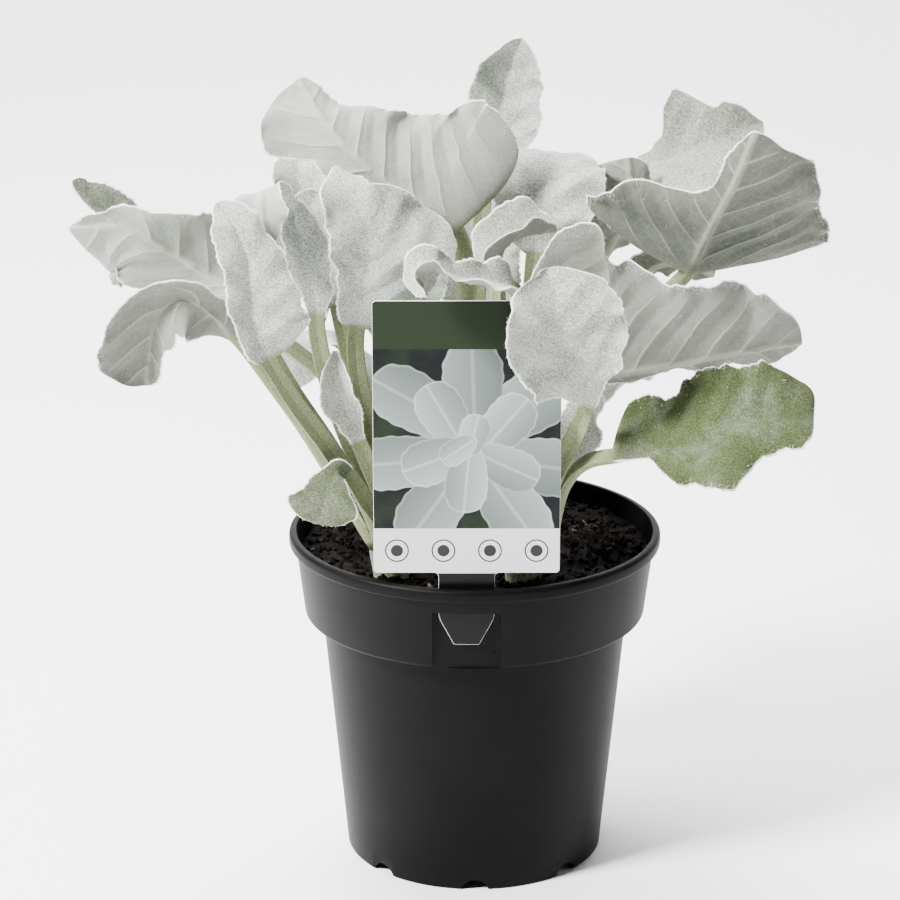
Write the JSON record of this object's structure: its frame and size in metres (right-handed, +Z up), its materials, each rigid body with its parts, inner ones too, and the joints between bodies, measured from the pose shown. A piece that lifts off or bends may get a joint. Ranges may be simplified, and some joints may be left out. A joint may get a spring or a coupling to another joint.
{
  "type": "potted plant",
  "caption": "Bushy silver-felted foliage plant with broad wavy leaves on pale stalks, growing in soil in a black plastic nursery pot with a plain care tag in its rim",
  "frame": {"origin": "centre of the pot's foot on its vertical axis, at the surface that the pot stands on", "axes": "+Z up along the pot's axis, -Y towards the care tag, which is the front of the plant, +X to the right when the tag is faced"},
  "size_m": [0.3676, 0.2227, 0.4129],
  "materials": {
    "pot_plastic": "black injection-moulded nursery pot plastic with a soft satin sheen and fine handling scuffs",
    "potting_soil": "moist dark peat and bark compost, crumbly, with fibres and a few pale chips",
    "leaf_felt": "thick leaf covered in dense silvery white felt, with raised veins beneath and a bright white margin",
    "stem_green": "fleshy pale yellow-green stem under thin white down",
    "tag_card": "thin printed plastic label card, satin front and plain back"
  },
  "bodies": {
    "root": {"nursery_pot": "pot_plastic", "soil": "potting_soil", "leaf_far_left": "leaf_felt", "leaf_far_left_back": "leaf_felt", "leaf_low_left": "leaf_felt", "leaf_left_upright": "leaf_felt", "leaf_left_curled": "leaf_felt", "leaf_centre_left": "leaf_felt", "leaf_left_back": "leaf_felt", "leaf_left_middle": "leaf_felt", "leaf_top_left": "leaf_felt", "leaf_top": "leaf_felt", "leaf_centre_right": "leaf_felt", "leaf_right_middle": "leaf_felt", "leaf_top_right": "leaf_felt", "leaf_right": "leaf_felt", "leaf_right_small": "leaf_felt", "leaf_right_centre": "leaf_felt", "leaf_front_right": "leaf_felt", "leaf_low_right": "leaf_felt", "leaf_right_inner": "leaf_felt", "leaf_back_right_low": "leaf_felt", "leaf_over_rim": "leaf_felt", "leaf_back_left_low": "leaf_felt", "leaf_bud": "leaf_felt", "leaf_over_tag": "leaf_felt", "leaf_cupped": "leaf_felt", "leaf_inner": "leaf_felt", "leaf_back_centre": "leaf_felt", "leaf_back_tall": "leaf_felt", "leaf_back_right": "leaf_felt", "stem_left": "stem_green", "stem_right": "stem_green", "stem_back": "stem_green", "care_tag": "tag_card"}
  },
  "joints": []
}
